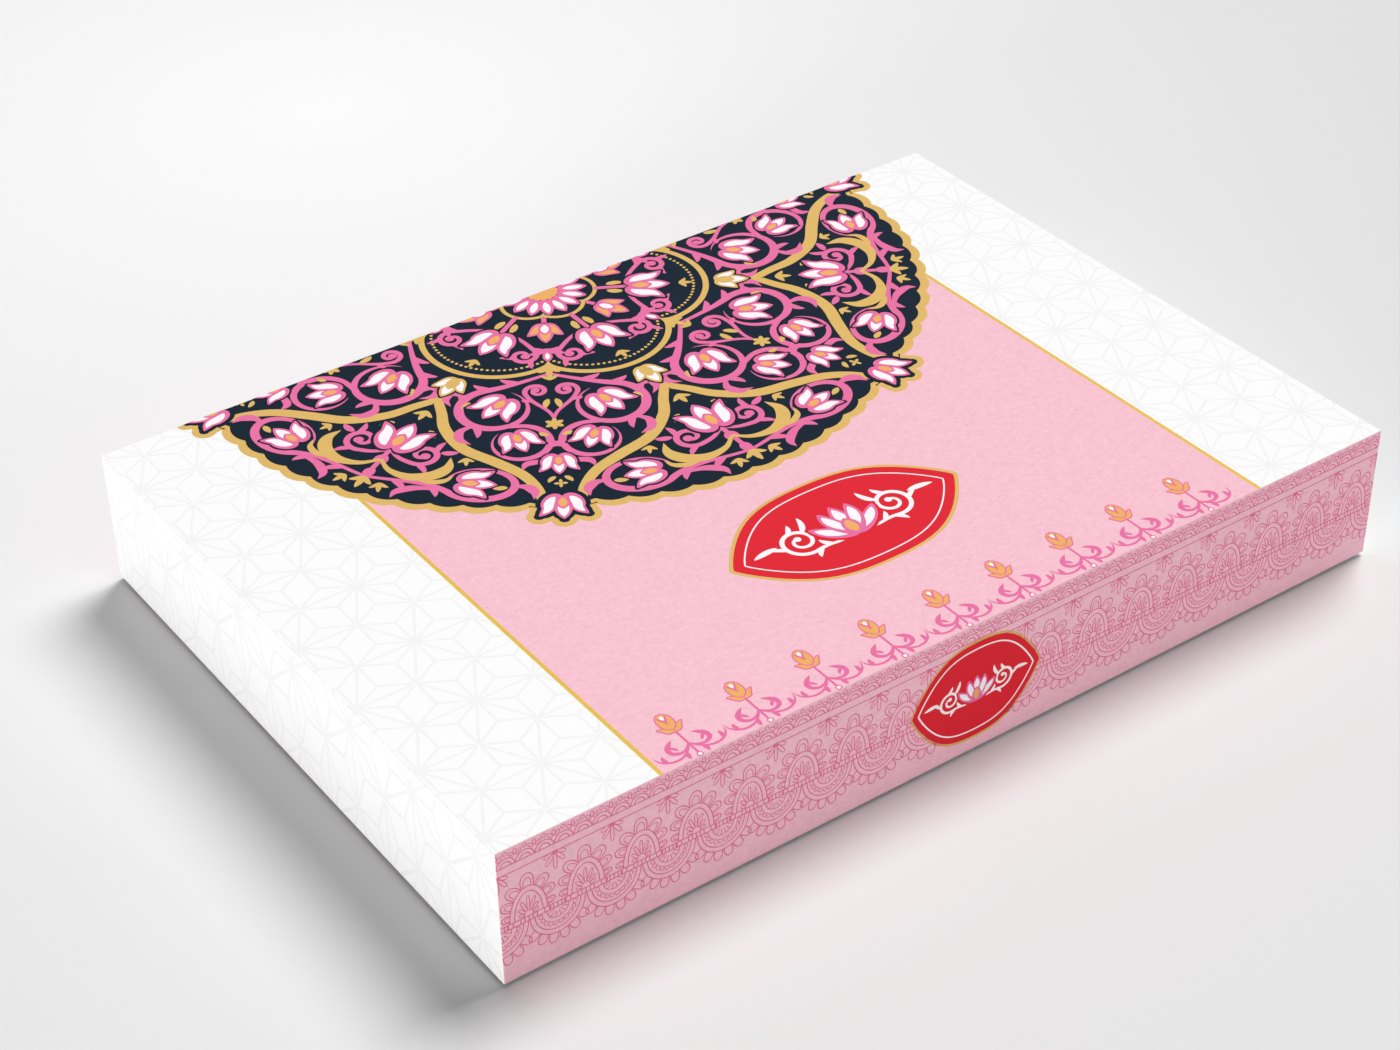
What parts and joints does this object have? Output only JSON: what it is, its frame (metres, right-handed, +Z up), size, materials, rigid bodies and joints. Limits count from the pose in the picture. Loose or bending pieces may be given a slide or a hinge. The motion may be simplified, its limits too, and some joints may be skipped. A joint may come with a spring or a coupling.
{
  "type": "sweet box",
  "caption": "Flat rigid sweet box: a full-depth printed lid lifts off a paper-wrapped base tray with slotted card dividers under a greaseproof sheet.",
  "frame": {"origin": "middle of the underside of the closed box", "axes": "+X along the long side, +Y from the front to the back, +Z up"},
  "size_m": [0.3, 0.21, 0.044],
  "materials": {
    "lid_paper": "matt printed art paper",
    "base_paper": "matt art paper",
    "lining_paper": "smooth paper",
    "stay_paper": "kraft paper",
    "greyboard": "raw greyboard",
    "divider_card": "white-lined card",
    "greaseproof": "greaseproof paper"
  },
  "bodies": {
    "base": {"base_front_board": "greyboard", "base_back_board": "greyboard", "base_left_board": "greyboard", "base_right_board": "greyboard", "base_floor_board": "greyboard", "base_corner_stay_front_left": "stay_paper", "base_corner_stay_front_right": "stay_paper", "base_corner_stay_back_left": "stay_paper", "base_corner_stay_back_right": "stay_paper", "base_wrap": "base_paper", "base_bottom_sheet": "base_paper", "base_lining": "lining_paper"},
    "dividers": {"long_divider_1": "divider_card", "long_divider_2": "divider_card", "cross_divider_1": "divider_card", "cross_divider_2": "divider_card", "cross_divider_3": "divider_card"},
    "sheet": {"greaseproof_sheet": "greaseproof"},
    "lid": {"lid_front_board": "greyboard", "lid_back_board": "greyboard", "lid_left_board": "greyboard", "lid_right_board": "greyboard", "lid_top_board": "greyboard", "lid_corner_stay_front_left": "stay_paper", "lid_corner_stay_front_right": "stay_paper", "lid_corner_stay_back_left": "stay_paper", "lid_corner_stay_back_right": "stay_paper", "lid_wrap": "lid_paper", "lid_lining": "lining_paper"}
  },
  "joints": [
    {"name": "divider_lift", "type": "slide", "parent": "base", "child": "dividers", "axis": [0, 0, 1], "range_m": [0, 0.06]},
    {"name": "sheet_lift", "type": "slide", "parent": "dividers", "child": "sheet", "axis": [0, 0, 1], "range_m": [0, 0.05]},
    {"name": "lid_lift", "type": "slide", "parent": "sheet", "child": "lid", "axis": [0, 0, 1], "range_m": [0, 0.1]}
  ]
}
